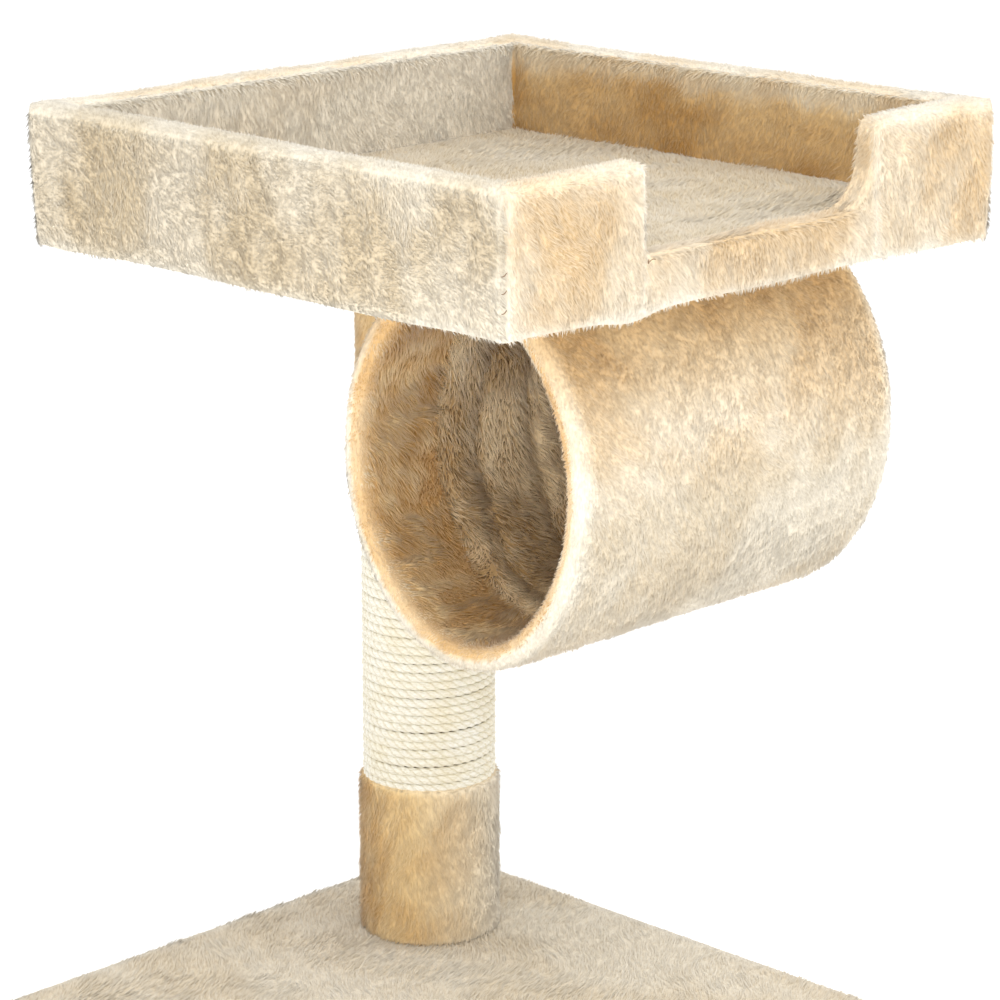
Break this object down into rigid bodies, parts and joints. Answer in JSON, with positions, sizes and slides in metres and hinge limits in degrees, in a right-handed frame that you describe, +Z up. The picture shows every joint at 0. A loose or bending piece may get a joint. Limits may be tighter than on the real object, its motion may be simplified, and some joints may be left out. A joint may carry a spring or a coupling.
{
  "type": "cat tree",
  "caption": "Plush cat tree: square base, sisal-wound post, oval tunnel hung beside it and a square walled bed on top with a low entry.",
  "frame": {"origin": "centre of the base's underside, on the floor", "axes": "+Z up; -Y towards the side on which the bed has its entry; +X towards the side on which the bed overhangs the base; the tunnel runs along X"},
  "size_m": [0.589, 0.511, 0.6],
  "materials": {
    "plush": "short-pile faux fur, mottled beige",
    "lining": "longer-pile faux fur, brown-beige",
    "wadding": "matt",
    "sisal": "natural twisted sisal",
    "felt": "matt felt",
    "particle_board": "raw particle board",
    "plug_wood": "raw turned wood",
    "cardboard": "matt wound cardboard",
    "zinc_steel": "zinc plated",
    "brass": "satin"
  },
  "bodies": {
    "root": {"base_cover": "plush", "post_lower_sleeve": "plush", "post_upper_sleeve": "plush", "tunnel_cover": "plush", "bed_cover": "plush", "bed_lining": "plush", "bed_floor_cover": "plush", "bed_underside_cover": "plush", "tunnel_lining": "lining", "bed_pad": "wadding", "sisal_rope": "sisal", "base_backing": "felt", "base_board": "particle_board", "bed_board": "particle_board", "bed_front_wall": "particle_board", "bed_rear_wall": "particle_board", "bed_left_wall": "particle_board", "bed_right_wall": "particle_board", "post_lower_plug": "plug_wood", "post_upper_plug": "plug_wood", "post_tube": "cardboard", "tunnel_shell": "cardboard", "base_staples": "zinc_steel", "bed_staples": "zinc_steel", "post_bolts": "zinc_steel", "post_washers": "zinc_steel", "bed_wall_screws": "zinc_steel", "tunnel_bolts": "zinc_steel", "tunnel_washers": "zinc_steel", "tunnel_tee_nuts": "zinc_steel", "post_inserts": "brass"}
  },
  "joints": []
}
